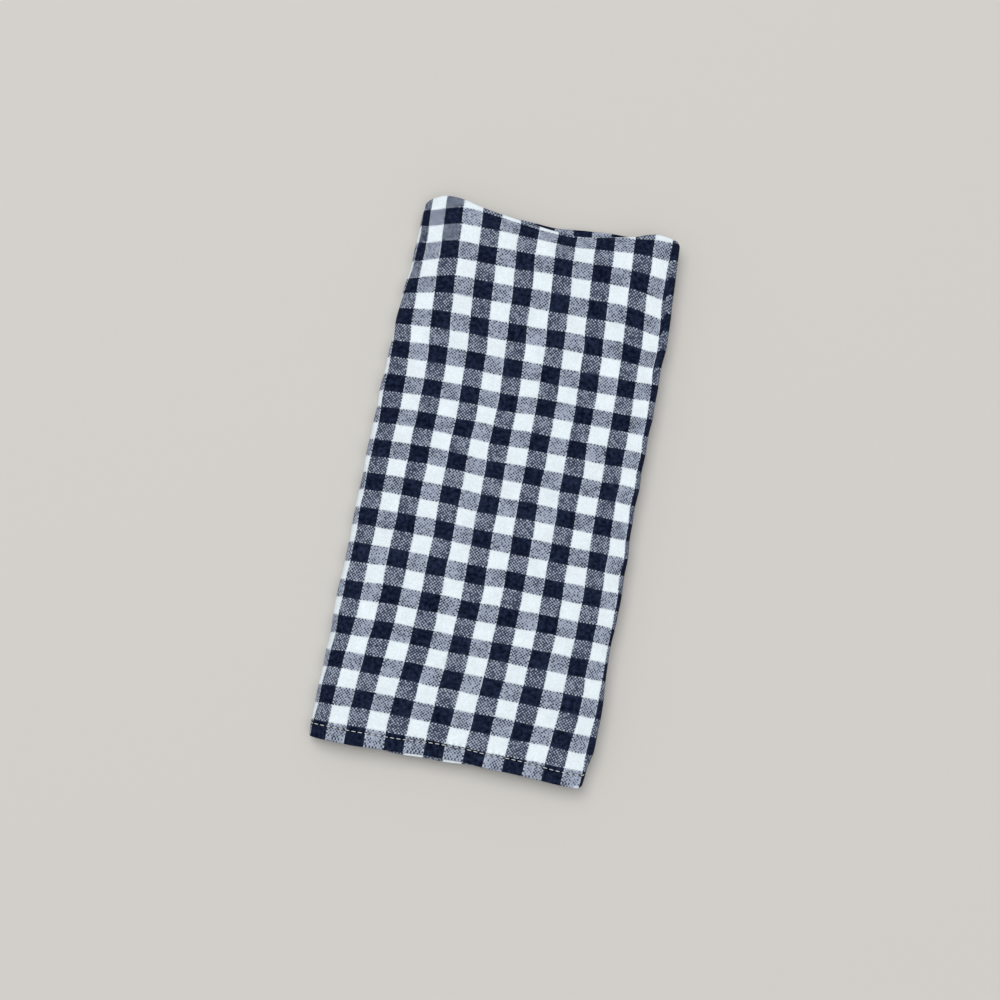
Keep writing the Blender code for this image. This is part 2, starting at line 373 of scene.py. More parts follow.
def top_droop(x, y):
    """How far the two upper plies hang down near the middle of the top edge."""
    edge = lookup(TOP_FOLDS, "second", x)
    near_edge = ease(1 - (edge - y) / TOP_DROOP_LENGTH)
    return TOP_DROOP * near_edge * hump(x - TOP_DROOP_CENTRE, TOP_DROOP_HALF_WIDTH)


def lower_top(x):
    """The top fold of the two lower plies, which lies back where the upper ones hang."""
    setback = LOWER_PLY_SETBACK * hump(x - TOP_DROOP_CENTRE, TOP_DROOP_HALF_WIDTH)
    return lookup(TOP_FOLDS, "lower", x) - setback


def crease_height(x, y):
    """The height that the creases and waves add to the top of the pile."""
    height = TOP_WAVE_HEIGHT * waves(x, y, TOP_WAVES)
    for c in CREASES:
        turned = math.radians(c.turned)
        along = (x - c.across) * math.cos(turned) + (y - c.along) * math.sin(turned)
        aside = (y - c.along) * math.cos(turned) - (x - c.across) * math.sin(turned)
        profile = np.exp(-((aside / c.half_width) ** 2))
        height += c.height * hump(along, c.half_length) * profile
    return height


def sheet_columns():
    """The columns of the sheet: the stretch, the share along it and the free edge's distance."""
    columns = [(INNER, 0.0, mark) for mark in EDGE_MARKS]
    for stretch, count in STRETCH_STEPS.items():
        columns += [(stretch, i / count, np.inf) for i in range(1, count + 1)]
    columns.pop()
    columns += [(BOTTOM, 1.0, mark) for mark in reversed(EDGE_MARKS)]
    stretch, share, free = (np.array(values) for values in zip(*columns))
    return stretch[:, None], share[:, None], free[:, None]


STRETCH, SHARE, FREE = sheet_columns()


def last_column(stretch):
    """The last column of a stretch, where the next one starts."""
    return int(np.flatnonzero(STRETCH[:, 0] == stretch)[-1])


def section(y):
    """Each column's place in the pile's cross section, half way between its two layers.

    Returns x, z above the lowest layer, the way to the face layer, and the pitch there.
    """
    left, right = lookup(SIDES, "left", y), lookup(SIDES, "right", y)
    half_cloth = SOLID_THICKNESS / 2
    gap = pitch(left, y)
    roll_radius = ((FRONT_LEVEL - BOTTOM_LEVEL) * gap - LEFT_SHOULDER_DROP) / 2
    roll_x = left + half_cloth + gap / 2 + roll_radius
    inner_x = left + INNER_FOLD_INSET + half_cloth + SMALL_FOLD_REACH * gap
    inner_gap = pitch(inner_x, y)
    inner_centre = INNER_LEVEL + SMALL_FOLD_RADIUS
    right_gap = pitch(right, y)
    right_x = right - half_cloth - SMALL_FOLD_REACH * right_gap
    right_centre = SECOND_LEVEL + SMALL_FOLD_RADIUS
    sine, cosine = np.sin(math.pi * SHARE), np.cos(math.pi * SHARE)
    hemmed = EDGE_MARKS[-1]

    upper_edge = right - UPPER_FREE_EDGE_INSET
    inner = between(upper_edge - hemmed, inner_x, SHARE)
    inner = np.where(np.isfinite(FREE), upper_edge - FREE, inner)
    lower_edge = right - LOWER_FREE_EDGE_INSET
    bottom = between(roll_x, lower_edge - hemmed, SHARE)
    bottom = np.where(np.isfinite(FREE), lower_edge - FREE, bottom)
    second = between(inner_x, right_x, SHARE)
    front = between(right_x, roll_x, SHARE)
    sunk = ease((inner_x - front) / (inner_x - roll_x)) * LEFT_SHOULDER_DROP
    flat = np.zeros_like(y)
    places = {
        INNER: (inner, INNER_LEVEL * pitch(inner, y), flat, flat + 1, pitch(inner, y)),
        INNER_FOLD: (inner_x - inner_gap * sine, inner_gap * (inner_centre - cosine),
                     flat + sine, flat + cosine, inner_gap),
        SECOND: (second, SECOND_LEVEL * pitch(second, y), flat, flat - 1, pitch(second, y)),
        RIGHT_FOLD: (right_x + right_gap * sine, right_gap * (right_centre - cosine),
                     flat + sine, flat - cosine, right_gap),
        FRONT: (front, FRONT_LEVEL * pitch(front, y) - sunk, flat, flat + 1, pitch(front, y)),
        LEFT_FOLD: (roll_x - roll_radius * sine,
                    BOTTOM_LEVEL * gap + roll_radius * (1 + cosine),
                    flat - sine, flat + cosine, gap),
        BOTTOM: (bottom, BOTTOM_LEVEL * pitch(bottom, y), flat, flat - 1, pitch(bottom, y)),
    }
    picked = [np.zeros_like(y) for _ in range(5)]
    for stretch, values in places.items():
        here = np.broadcast_to(STRETCH == stretch, y.shape)
        for target, value in zip(picked, values):
            target[here] = np.broadcast_to(value, y.shape)[here]
    return picked


def column_edges():
    """The top fold, face hem and back hem of each column."""
    ones = np.ones_like(SHARE)
    x = section(0.0 * ones)[0]
    front_hems = (lookup(HEM_EDGES, "front", x), lookup(HEM_EDGES, "under", x))
    x = section(SIDES[-1].along * ones)[0]
    front = (lookup(TOP_FOLDS, "front", x), *front_hems)
    second = (lookup(TOP_FOLDS, "second", x), SECOND_HEM.face * ones, SECOND_HEM.back * ones)
    inner = (lower_top(x), INNER_HEM.face * ones, INNER_HEM.back * ones)
    bottom = (lower_top(x), BOTTOM_HEM.face * ones, BOTTOM_HEM.back * ones)
    ends = {
        INNER: (inner, inner),
        INNER_FOLD: (inner, second),
        SECOND: (second, second),
        RIGHT_FOLD: (second, front),
        FRONT: (front, front),
        LEFT_FOLD: (front, bottom),
        BOTTOM: (bottom, bottom),
    }
    share = ease(SHARE)
    result = []
    for part in range(len(front)):
        value = np.zeros_like(SHARE)
        for stretch, (start, end) in ends.items():
            here = STRETCH == stretch
            value[here] = between(start[part], end[part], share)[here]
        result.append(value)
    return result


def make_rows():
    """Where each row of the sheet lies: along the pile, its side, and its hem's distance.

    Returns the top fold of each column as well, and the last row of the face.
    """
    top, face_hem, back_hem = column_edges()
    gap = section(top)[4]
    turn_centre = top - SOLID_THICKNESS / 2 - gap / 2
    along, side, hem = [], [], []
    face_shares = np.arange(1, FACE_ROWS + 1) / FACE_ROWS
    back_shares = np.arange(1, BACK_ROWS + 1) / BACK_ROWS

    def ply_layer(edge, shares):
        length = turn_centre - edge
        distances = [edge * 0 + mark for mark in EDGE_MARKS]
        distances += [between(EDGE_MARKS[-1], length, share) for share in shares]
        return [(edge + d, d) for d in distances]

    for y, d in ply_layer(face_hem, face_shares):
        along.append(y)
        side.append(np.ones_like(y))
        hem.append(d)
    for i in range(1, TOP_FOLD_STEPS):
        turn = math.pi * i / TOP_FOLD_STEPS
        along.append(turn_centre + gap / 2 * math.sin(turn))
        side.append(np.full_like(turn_centre, math.cos(turn)))
        hem.append(turn_centre)
    for y, d in reversed(ply_layer(back_hem, back_shares)):
        along.append(y)
        side.append(-np.ones_like(y))
        hem.append(d)
    return (np.concatenate(along, 1), np.concatenate(side, 1), np.concatenate(hem, 1),
            top, len(EDGE_MARKS) + FACE_ROWS)


def weave_across(x, y, z):
    """The flat cloth's coordinate across it, from the upper free edge to the lower one."""
    bow, spread = lookup(SIDES, "bow", y), lookup(SIDES, "spread", y)
    woven = (x - bow) / (1 + spread)
    left_take = lookup(SIDES, "left_take", y)
    right_take = lookup(SIDES, "right_take", y)
    woven -= left_take * (np.clip(LEFT_TAKE_START - x, 0, None) / SIDE_TAKE_LENGTH) ** 2
    woven += right_take * (np.clip(x - RIGHT_TAKE_START, 0, None) / SIDE_TAKE_LENGTH) ** 2
    front = WOVEN_MIDDLE - woven

    step = np.hypot(np.diff(x, axis=0), np.diff(z, axis=0))
    path = np.concatenate([np.zeros_like(x[:1]), np.cumsum(step, axis=0)])
    second_end = last_column(SECOND)
    front_start = last_column(RIGHT_FOLD)
    front_end = last_column(FRONT)
    bottom_start = last_column(LEFT_FOLD)
    across = front.copy()
    to_front = path[front_start] - path[second_end:front_start]
    across[second_end:front_start] = front[front_start] - to_front
    right_fold = ease((1 - SHARE) / RIGHT_FOLD_SHARE) * (STRETCH == RIGHT_FOLD)
    across -= lookup(FOLD_TAKES, "right", y) * right_fold
    across[:second_end] = across[second_end] * path[:second_end] / path[second_end]
    across[front_end + 1:] = front[front_end] + path[front_end + 1:] - path[front_end]
    left_fold = ease(SHARE / LEFT_FOLD_SHARE) * (STRETCH == LEFT_FOLD)
    across += lookup(FOLD_TAKES, "left", y) * left_fold
    rest = path[bottom_start:] - path[bottom_start]
    share = rest / (path[-1] - path[bottom_start])
    across[bottom_start:] = between(across[bottom_start], CLOTH_WIDTH, share)
    shown = (STRETCH == SECOND) * grown(x, SECOND_SHIFT_RIGHT) * grown(x, SECOND_SHIFT_LEFT)
    return across + SECOND_PLY_SHIFT * shown


def weave_along(x, y, side, hem_distance, top, fold_row):
    """The flat cloth's coordinate along it, from the front hem to the back one."""
    tilted = lookup(SIDES, "tilt", y) * np.clip(x, TILT_LEFT, TILT_RIGHT)
    sag = ROW_SAG * hump(x - ROW_SAG_CENTRE, ROW_SAG_HALF_WIDTH)
    shift = lookup(SIDES, "shift", y) + tilted
    shift = shift + sag * hump(y - ROW_SAG_ALONG, ROW_SAG_HALF_LENGTH)
    take = lookup(TOP_FOLDS, "take", x) * (STRETCH == FRONT)
    near_top = np.clip(1 - (top - y) / TOP_TAKE_LENGTH, 0, None) ** 2
    rows = y - shift + take * near_top
    upper = (STRETCH == FRONT) | (STRETCH == LEFT_FOLD)
    pull = EDGE_PULL + CORNER_PULL * grown(y, CORNER_PULL_ALONG)
    rows = rows + upper * pull * grown(x, LEFT_PULL_ACROSS)
    right_pull = upper * RIGHT_PULL * grown(x, RIGHT_PULL_ACROSS)
    rows = rows + right_pull * hump(y - RIGHT_PULL_ALONG, RIGHT_PULL_HALF_LENGTH)
    near_hem = np.clip(1 - hem_distance / HEM_TAKE_LENGTH, 0, None) ** 2
    rows = rows + HEM_TAKE * near_hem * (STRETCH == FRONT)
    shown = (STRETCH == SECOND) * grown(x, SECOND_ROWS_RIGHT) * grown(y, SECOND_ROWS_TOP)
    rows = rows + SECOND_PLY_ROWS * shown

    step = np.hypot(np.diff(y, axis=1), LAYER_PITCH / 2 * np.diff(side, axis=1))
    path = np.concatenate([np.zeros_like(y[:, :1]), np.cumsum(step, axis=1)], 1)
    last_face = slice(fold_row - 1, fold_row)
    back_row = fold_row + TOP_FOLD_STEPS - 1
    first_back = slice(back_row, back_row + 1)
    start = rows[:, last_face]
    back_start = start + path[:, first_back] - path[:, last_face]
    rows[:, fold_row:back_row] = start + path[:, fold_row:back_row] - path[:, last_face]
    share = path[:, back_row:] - path[:, first_back]
    share = share / share[:, -1:]
    rows[:, back_row:] = between(back_start, CLOTH_LENGTH, share)
    return rows


def sheet_normals(points):
    """Outward directions of the sheet's face side."""
    across = np.gradient(points, axis=0)
    along = np.gradient(points, axis=1)
    normals = np.cross(along, across)
    return normals / np.linalg.norm(normals, axis=2, keepdims=True)


def under_hem(flat, from_edge, size, first, last):
    """A flat coordinate on the cloth's back, which turns round at the edge under a hem."""
    first_half = flat < size / 2
    way = np.where(first_half, -1, 1)
    edge = np.where(first_half, first, last)
    turned = from_edge < HEM_WIDTH + HEM_LEDGE / 2
    return np.where(turned, edge + way * (from_edge + TURNED_EDGE), flat)


def fold_cloth():
    """The sheet's middle surface, its outward directions, hem distances and flat places."""
    y, side, hem_distance, top, fold_row = make_rows()
    x, z, face_x, face_z, gap = section(y)
    across = weave_across(x, y, z)
    along = weave_along(x, y, side, hem_distance, top, fold_row)
    spot = (across, along)
    across = across + WEAVE_WANDER * waves(*spot, ACROSS_WAVES)
    along = along + WEAVE_WANDER * waves(*spot, ALONG_WAVES)

    left, right = lookup(SIDES, "left", y), lookup(SIDES, "right", y)
    near_side = np.maximum(ease(1 - (x - left) / SIDE_WANDER_REACH),
                           ease(1 - (right - x) / SIDE_WANDER_REACH))
    near_end = np.maximum(ease(1 - (top - y) / END_WANDER_REACH), ease(1 - y / END_WANDER_REACH))
    layer = z * WANDER_BY_HEIGHT
    side_waves = waves(y, layer + WANDER_BY_DISTANCE * x, SIDE_WAVES)
    x = x + EDGE_WANDER * near_side * side_waves
    end_waves = waves(x, layer + WANDER_BY_DISTANCE * y, END_WAVES)
    y = y + EDGE_WANDER * near_end * end_waves
    x = x + face_x * side * gap / 2
    z = z + face_z * side * gap / 2

    height = np.clip(z / (LAYERS_ABOVE_LOWEST * LAYER_PITCH), 0, 1)
    raised = crease_height(x, y) * height ** CREASE_FADE_POWER
    fade = np.minimum(np.clip((top - y) / TOP_FADE_LENGTH, 0, 1),
                      np.clip(y / HEM_FADE_LENGTH, HEM_FADE_LEAST, 1))
    own = waves(across, along, LAYER_WAVES) * LAYER_WAVE_HEIGHT
    own = own * np.clip(height * LAYER_WAVE_GROWTH, 0, 1)
    z = z + raised * fade + own * fade
    hanging = (STRETCH >= SECOND) & (STRETCH <= FRONT)
    z = z + SOLID_THICKNESS / 2 - hanging * top_droop(x, y)
    z = z - (SOLID_THICKNESS - CLOTH_THICKNESS) / 2
    past_hem = y - HEM_WIDTH
    past_side_hem = right - HEM_WIDTH - LOWER_FREE_EDGE_INSET - x
    lifted = np.maximum(ease(1 - past_hem / HEM_LIFT_LENGTH),
                        ease(1 - past_side_hem / HEM_LIFT_LENGTH))
    points = np.stack([x, y, z + HEM_LIFT * lifted], 2)

    side_hem = np.broadcast_to(FREE, y.shape)
    edge_distance = np.minimum(hem_distance, side_hem)
    along_hem = np.where(hem_distance < side_hem, across, along)
    under_along = under_hem(along, hem_distance, CLOTH_LENGTH, along[:, :1], along[:, -1:])
    under_across = under_hem(across, side_hem, CLOTH_WIDTH, across[:1], across[-1:])
    maps = {
        "weave": ((across, along), (under_across, under_along)),
        "hem": ((edge_distance, along_hem), (edge_distance, along_hem)),
    }
    return points, sheet_normals(points), edge_distance, maps


def skins(points, normals, edge_distance):
    """The face and back surfaces of the cloth, which is thicker at its hems."""
    rounding = np.clip(edge_distance / EDGE_ROUNDING, 0, 1)
    rounded = EDGE_LEAST + (1 - EDGE_LEAST) * np.sqrt(1 - (1 - rounding) ** 2)
    stitched = np.exp(-(((edge_distance - STITCH_INSET) / SEAM_HALF_WIDTH) ** 2))
    skins_at = []
    for way, slope in ((1, HEM_SLOPE), (-1, HEM_LEDGE)):
        hem = 1 - ease((edge_distance - HEM_WIDTH) / slope)
        thickness = (CLOTH_THICKNESS + HEM_EXTRA * hem) / 2 * rounded - SEAM_DEPTH * stitched
        skins_at.append(points + way * normals * thickness[..., None])
    return skins_at


def sheet_mesh(name, face, back, maps):
    """A closed mesh from the two skins, with UV maps of places on the flat cloth and its hems."""
    columns, rows = face.shape[:2]
    count = columns * rows
    index = np.arange(count).reshape(columns, rows)
    a, b = index[:-1, :-1], index[:-1, 1:]
    c, d = index[1:, 1:], index[1:, :-1]
    face_quads = np.stack([a, b, c, d], -1).reshape(-1, 4)
    back_quads = face_quads[:, ::-1] + count
    border = np.concatenate([index[0, :-1], index[:-1, -1], index[-1, :0:-1], index[:0:-1, 0]])
    following = np.roll(border, -1)
    rim = np.stack([following, border, border + count, following + count], -1)
    quads = np.concatenate([face_quads, back_quads, rim])
    vertices = np.concatenate([face.reshape(-1, 3), back.reshape(-1, 3)]) * MM
    mesh = bpy.data.meshes.new(name)
    mesh.from_pydata(vertices.tolist(), [], quads.tolist())
    for title, sides in maps.items():
        flat = np.concatenate([np.stack(places, -1).reshape(-1, 2) for places in sides])
        layer = mesh.uv_layers.new(name=title)
        layer.data.foreach_set("uv", flat[quads.reshape(-1)].astype(np.float32).ravel())
    mesh.update()
    mesh.shade_smooth()
    return mesh


def place_in_scene(name, mesh, material):
    """Links a mesh as an object with its material."""
    piece = bpy.data.objects.new(name, mesh)
    bpy.context.scene.collection.objects.link(piece)
    mesh.materials.append(material)
    return piece


class Nodes:
    """A short way to write a material's nodes."""

    def __init__(self, name):
        self.material = bpy.data.materials.new(name)
        self.material.use_nodes = True
        self.tree = self.material.node_tree
        self.shader = self.tree.nodes["Principled BSDF"]

    def add(self, kind, inputs=(), **settings):
        """A new node with its settings and inputs."""
        node = self.tree.nodes.new(kind)
        for key, value in settings.items():
            setattr(node, key, value)
        for key, value in dict(inputs).items():
            self.join(value, node.inputs[key])
        return node

    def join(self, value, socket):
        """Gives an input a fixed value or another node's output."""
        if isinstance(value, bpy.types.NodeSocket):
            self.tree.links.new(value, socket)
        else:
            socket.default_value = value

    def finish(self, **inputs):
        """Gives the shader its inputs, each written with low lines for the spaces."""
        for key, value in inputs.items():
            self.join(value, self.shader.inputs[key.replace("_", " ")])
        return self.material

    def math(self, operation, a, b=0.0, c=0.0):
        """The result of one operation on up to three values."""
        return self.add("ShaderNodeMath", {0: a, 1: b, 2: c}, operation=operation).outputs[0]

    def total(self, start, values, weights):
        """A start plus the values that the weights name, each times its weight."""
        for name, weight in weights.items():
            start = self.math("MULTIPLY_ADD", values[name], weight, start)
        return start

    def mix(self, share, a, b):
        """A colour between two others."""
        node = self.add("ShaderNodeMix", data_type="RGBA")
        colours = [s for s in node.inputs if s.type == "RGBA"]
        self.join(share, node.inputs[0])
        self.join(a, colours[0])
        self.join(b, colours[1])
        return next(s for s in node.outputs if s.type == "RGBA")

    def smooth(self, value, low, high):
        """A smooth step from 0 at one value to 1 at another."""
        node = self.add("ShaderNodeMapRange", {0: value, 1: low, 2: high, 3: 0.0, 4: 1.0},
                        interpolation_type="SMOOTHSTEP")
        return node.outputs[0]

    def noise(self, place, scale, detail=2.0, roughness=0.5):
        """A soft noise over the places."""
        inputs = {"Vector": place, "Scale": scale, "Detail": detail, "Roughness": roughness}
        return self.add("ShaderNodeTexNoise", inputs)

    def bump(self, height, strength, distance):
        """The surface's direction with a fine relief."""
        inputs = {"Strength": strength, "Distance": distance, "Height": height}
        return self.add("ShaderNodeBump", inputs).outputs[0]


# The stitches, and how far a stitch stands off the cloth at its middle and lies in it at its
# ends, where the thread is thinner.
STITCH_PITCH = 2.6
STITCH_LENGTH = 2.0
THREAD_RADIUS = 0.15
STITCH_RISE = 0.26
STITCH_SINK = 0.12
THREAD_END = 0.55
THREAD_SWELL = 0.45
STITCH_SIDES = 6
STITCH_RINGS = 6

# The yarns, and how the white and the navy ones look where they are woven together.
# Among navy yarns the white is dimmed by the navy's fuzz and by painted shade. Among white
# yarns the navy is lighter. The navy's lighter fuzz is partly its own nap and partly
# painted highlights.
NAVY = (0.0014, 0.0036, 0.0135, 1.0)
NAVY_FUZZ_AND_HIGHLIGHT = (0.0215, 0.0325, 0.0720, 1.0)
NAVY_AMONG_WHITE = (0.0560, 0.0700, 0.1120, 1.0)
WHITE = (0.80, 0.885, 0.93, 1.0)
WHITE_DIMMED_BY_SHADE_AND_FUZZ = (0.350, 0.397, 0.492, 1.0)
NAVY_AMONG_WHITE_SHARE = 0.7
WARPS_A_CHECK = 12
WEFTS_A_CHECK = 11

# How far the yarns stray, at what scale, and how fast the tone changes along each yarn.
YARN_STRAY = 0.5
STRAY_SCALE = 0.9
TONE_SCALE = 0.12
WARP_TONE_SEED = 3.0
WEFT_TONE_SEED = 17.0

# What decides which yarn lies on top: a regular crossing, and chance from fine to broad,
# with a lead for the warp and a soft change from one yarn to the other.
LEANS = {"crossing": 0.85, "dot": 0.9, "grain": 1.7, "openness_and_soft_shade": 1.5}
WARP_LEAD = 0.25
LEAN_SOFTNESS = 0.25

# The scale of each noise, how the fuzz follows the openness, and the two values between
# which the fuzz shows. Where it shows, the navy is lighter, partly with its own nap and
# partly with painted highlights.
GRAIN_SCALE = 1.1
OPENNESS_AND_SOFT_SHADE_SCALE = 0.11
LUMPS_SCALE = 0.22
FUZZ_SCALE = 0.6
FUZZ_DETAIL = 5.0
FUZZ_ROUGHNESS = 0.68
FUZZ_HIGHLIGHT_BY_OPENNESS = 0.22
FUZZ_HIGHLIGHT_LOW = 0.34
FUZZ_HIGHLIGHT_HIGH = 0.78

# How much each feature lightens the cloth, or darkens it where negative, and how high it
# stands in the fine relief. The shade is painted light and shade: the roundness paints a
# highlight on the crown of each yarn crossing and shade in the gaps, the seam paints shade
# in its groove, the puckers paint their light and shade, and the openness paints soft shade
# as from broad creases, together with the cloth's own uneven tone. The tone and the dots
# are the yarns' own random tones.
BASE_SHADE = 0.69
SHADES = {"tone": 0.16, "openness_and_soft_shade": 0.24, "dot": 0.10, "roundness": 0.10,
          "seam": -0.60, "puckers": 0.20}
RELIEFS = {"roundness": 0.09, "fuzz_and_highlights": 0.14, "lumps": 0.5, "seam": -0.22, "puckers": 0.14}
RELIEF_STRENGTH = 0.8

# The distances from the seam at which its groove, with its painted shade, and its puckers,
# with their painted light and shade, start to fade and end.
GROOVE_FADE = (0.12, 0.64)
PUCKER_FADE = (0.3, 2.6)


def gingham_cotton():
    """Brushed plain-woven cotton in a navy and white check, coloured yarn by yarn, with painted
    light and shade on its yarns, its seam and its puckers.
    """
    n = Nodes("gingham_cotton")
    flat = n.add("ShaderNodeUVMap", uv_map="weave").outputs[0]
    place = n.add("ShaderNodeSeparateXYZ", {0: flat})
    wander = n.noise(flat, STRAY_SCALE)
    stray = n.add("ShaderNodeSeparateXYZ", {0: wander.outputs["Color"]})

    def yarns(coordinate, first, size, count, straying):
        """The yarn, its number, whether it is navy, and how near the navy yarns are."""
        wandering = n.math("MULTIPLY_ADD", straying, YARN_STRAY, -YARN_STRAY / 2 - first)
        yarn = n.math("MULTIPLY", n.math("ADD", coordinate, wandering), count / size)
        number = n.math("FLOOR", yarn)
        one_yarn = 0.5 / count
        navy_middle = 0.25
        repeat = n.math("FRACT", n.math("MULTIPLY_ADD", number, one_yarn, one_yarn / 2))
        is_navy = n.math("LESS_THAN", repeat, 2 * navy_middle)
        exact = n.math("FRACT", n.math("MULTIPLY", yarn, one_yarn))
        from_middle = n.math("ABSOLUTE", n.math("SUBTRACT", exact, navy_middle))
        nearest = n.math("MINIMUM", from_middle, n.math("SUBTRACT", 1.0, from_middle))
        away = n.smooth(nearest, navy_middle - one_yarn, navy_middle + one_yarn)
        return yarn, number, is_navy, n.math("SUBTRACT", 1.0, away)

    first_warp = CHECK_WIDTH / 2
    first_weft = FRONT_HEM_ROW - CHECK_LENGTH / 2
    warp, warp_number, dark_warp, warps_near = yarns(
        place.outputs[0], first_warp, CHECK_WIDTH, WARPS_A_CHECK, stray.outputs[0])
    weft, weft_number, dark_weft, wefts_near = yarns(
        place.outputs[1], first_weft, CHECK_LENGTH, WEFTS_A_CHECK, stray.outputs[1])

    across_warp = n.math("SINE", n.math("MULTIPLY", warp, math.pi))
    across_weft = n.math("SINE", n.math("MULTIPLY", weft, math.pi))
    numbers = n.add("ShaderNodeCombineXYZ", {0: warp_number, 1: weft_number}).outputs[0]
    dot = n.add("ShaderNodeTexWhiteNoise", {0: numbers}, noise_dimensions="2D")
    fuzz_and_highlights = n.noise(flat, FUZZ_SCALE, FUZZ_DETAIL, FUZZ_ROUGHNESS)
    features = {
        "crossing": n.math("MULTIPLY", across_warp, across_weft),
        "dot": dot.outputs[0],
        # This noise is the weave's openness, and it also paints soft shade as from broad creases.
        "openness_and_soft_shade": n.noise(flat, OPENNESS_AND_SOFT_SHADE_SCALE).outputs[0],
        "grain": n.noise(flat, GRAIN_SCALE).outputs[0],
        "fuzz_and_highlights": fuzz_and_highlights.outputs[0],
        "lumps": n.noise(flat, LUMPS_SCALE).outputs[0],
    }
    # The roundness also paints a highlight on each crossing's crown and shade in its gaps.
    features["roundness"] = n.math("ABSOLUTE", features["crossing"])
    chance = sum(weight for name, weight in LEANS.items() if name != "crossing")
    lean = n.total(WARP_LEAD - chance / 2, features, LEANS)
    warp_over = n.smooth(lean, -LEAN_SOFTNESS, LEAN_SOFTNESS)

    def yarn_tone(number, other, seed):
        """A slow change of tone along each yarn, another for every yarn."""
        spot = {0: number, 1: n.math("MULTIPLY", other, TONE_SCALE), 2: seed}
        return n.noise(n.add("ShaderNodeCombineXYZ", spot).outputs[0], 1.0).outputs[0]

    def top_yarn(of_warp, of_weft):
        """The value of whichever yarn lies on top."""
        return n.math("MULTIPLY_ADD", warp_over, n.math("SUBTRACT", of_warp, of_weft), of_weft)

    features["tone"] = top_yarn(yarn_tone(warp_number, place.outputs[1], WARP_TONE_SEED),
                                yarn_tone(weft_number, place.outputs[0], WEFT_TONE_SEED))
    mixed = n.math("ABSOLUTE", n.math("SUBTRACT", warps_near, wefts_near))
    # Among navy yarns the white is dimmed by the navy's fuzz and by painted shade.
    white = n.mix(mixed, WHITE, WHITE_DIMMED_BY_SHADE_AND_FUZZ)
    # The navy's lighter fuzz is partly its own nap and partly painted highlights.
    fuzz_and_highlight_mottle = n.math("MULTIPLY_ADD", features["openness_and_soft_shade"], FUZZ_HIGHLIGHT_BY_OPENNESS,
                   n.math("SUBTRACT", features["fuzz_and_highlights"], FUZZ_HIGHLIGHT_BY_OPENNESS / 2))
    navy = n.mix(n.smooth(fuzz_and_highlight_mottle, FUZZ_HIGHLIGHT_LOW, FUZZ_HIGHLIGHT_HIGH), NAVY, NAVY_FUZZ_AND_HIGHLIGHT)
    # The navy is lighter where it lies among white yarns.
    navy = n.mix(n.math("MULTIPLY", mixed, NAVY_AMONG_WHITE_SHARE), navy, NAVY_AMONG_WHITE)
    colour = n.mix(top_yarn(dark_warp, dark_weft), white, navy)

    hem = n.add("ShaderNodeUVMap", uv_map="hem").outputs[0]
    edge = n.add("ShaderNodeSeparateXYZ", {0: hem})
    from_seam = n.math("ABSOLUTE", n.math("SUBTRACT", edge.outputs[0], STITCH_INSET))
    # The seam's groove is darkened with painted shade as well as sunk in the relief.
    features["seam"] = n.math("SUBTRACT", 1.0, n.smooth(from_seam, *GROOVE_FADE))
    near_seam = n.math("SUBTRACT", 1.0, n.smooth(from_seam, *PUCKER_FADE))
    stitch = n.math("MULTIPLY", edge.outputs[1], 2 * math.pi / STITCH_PITCH)
    # The puckers carry painted light and shade as well as their relief.
    features["puckers"] = n.math("MULTIPLY", near_seam, n.math("SINE", stitch))

    # The shade paints light and shade into the colour of the cloth.
    shade = n.total(BASE_SHADE, features, SHADES)
    shaded = n.add("ShaderNodeVectorMath", {0: colour, 3: shade}, operation="SCALE")
    relief = n.total(0.0, features, RELIEFS)
    return n.finish(
        Base_Color=shaded.outputs[0],
        Normal=n.bump(relief, RELIEF_STRENGTH, MM),
        Roughness=0.95,
        Specular_IOR_Level=0.05,
        Sheen_Weight=0.02,
        Sheen_Roughness=0.5,
    )


# The thread's two tones, and how closely it is twisted.
THREAD_SHADE = (0.66, 0.70, 0.76, 1.0)
THREAD_LIGHT = (0.86, 0.89, 0.93, 1.0)
THREAD_TWISTS = 900.0


def thread_cotton():
    """White sewing thread with a fine twist."""
    n = Nodes("hem_thread")
    place = n.add("ShaderNodeTexCoord").outputs["Object"]
    inputs = {"Vector": place, "Scale": THREAD_TWISTS, "Distortion": 2.0}
    twist = n.add("ShaderNodeTexWave", inputs, bands_direction="DIAGONAL").outputs["Fac"]
    return n.finish(
        Base_Color=n.mix(twist, THREAD_SHADE, THREAD_LIGHT),
        Normal=n.bump(twist, 0.4, 0.1 * MM),
        Roughness=0.6,
    )


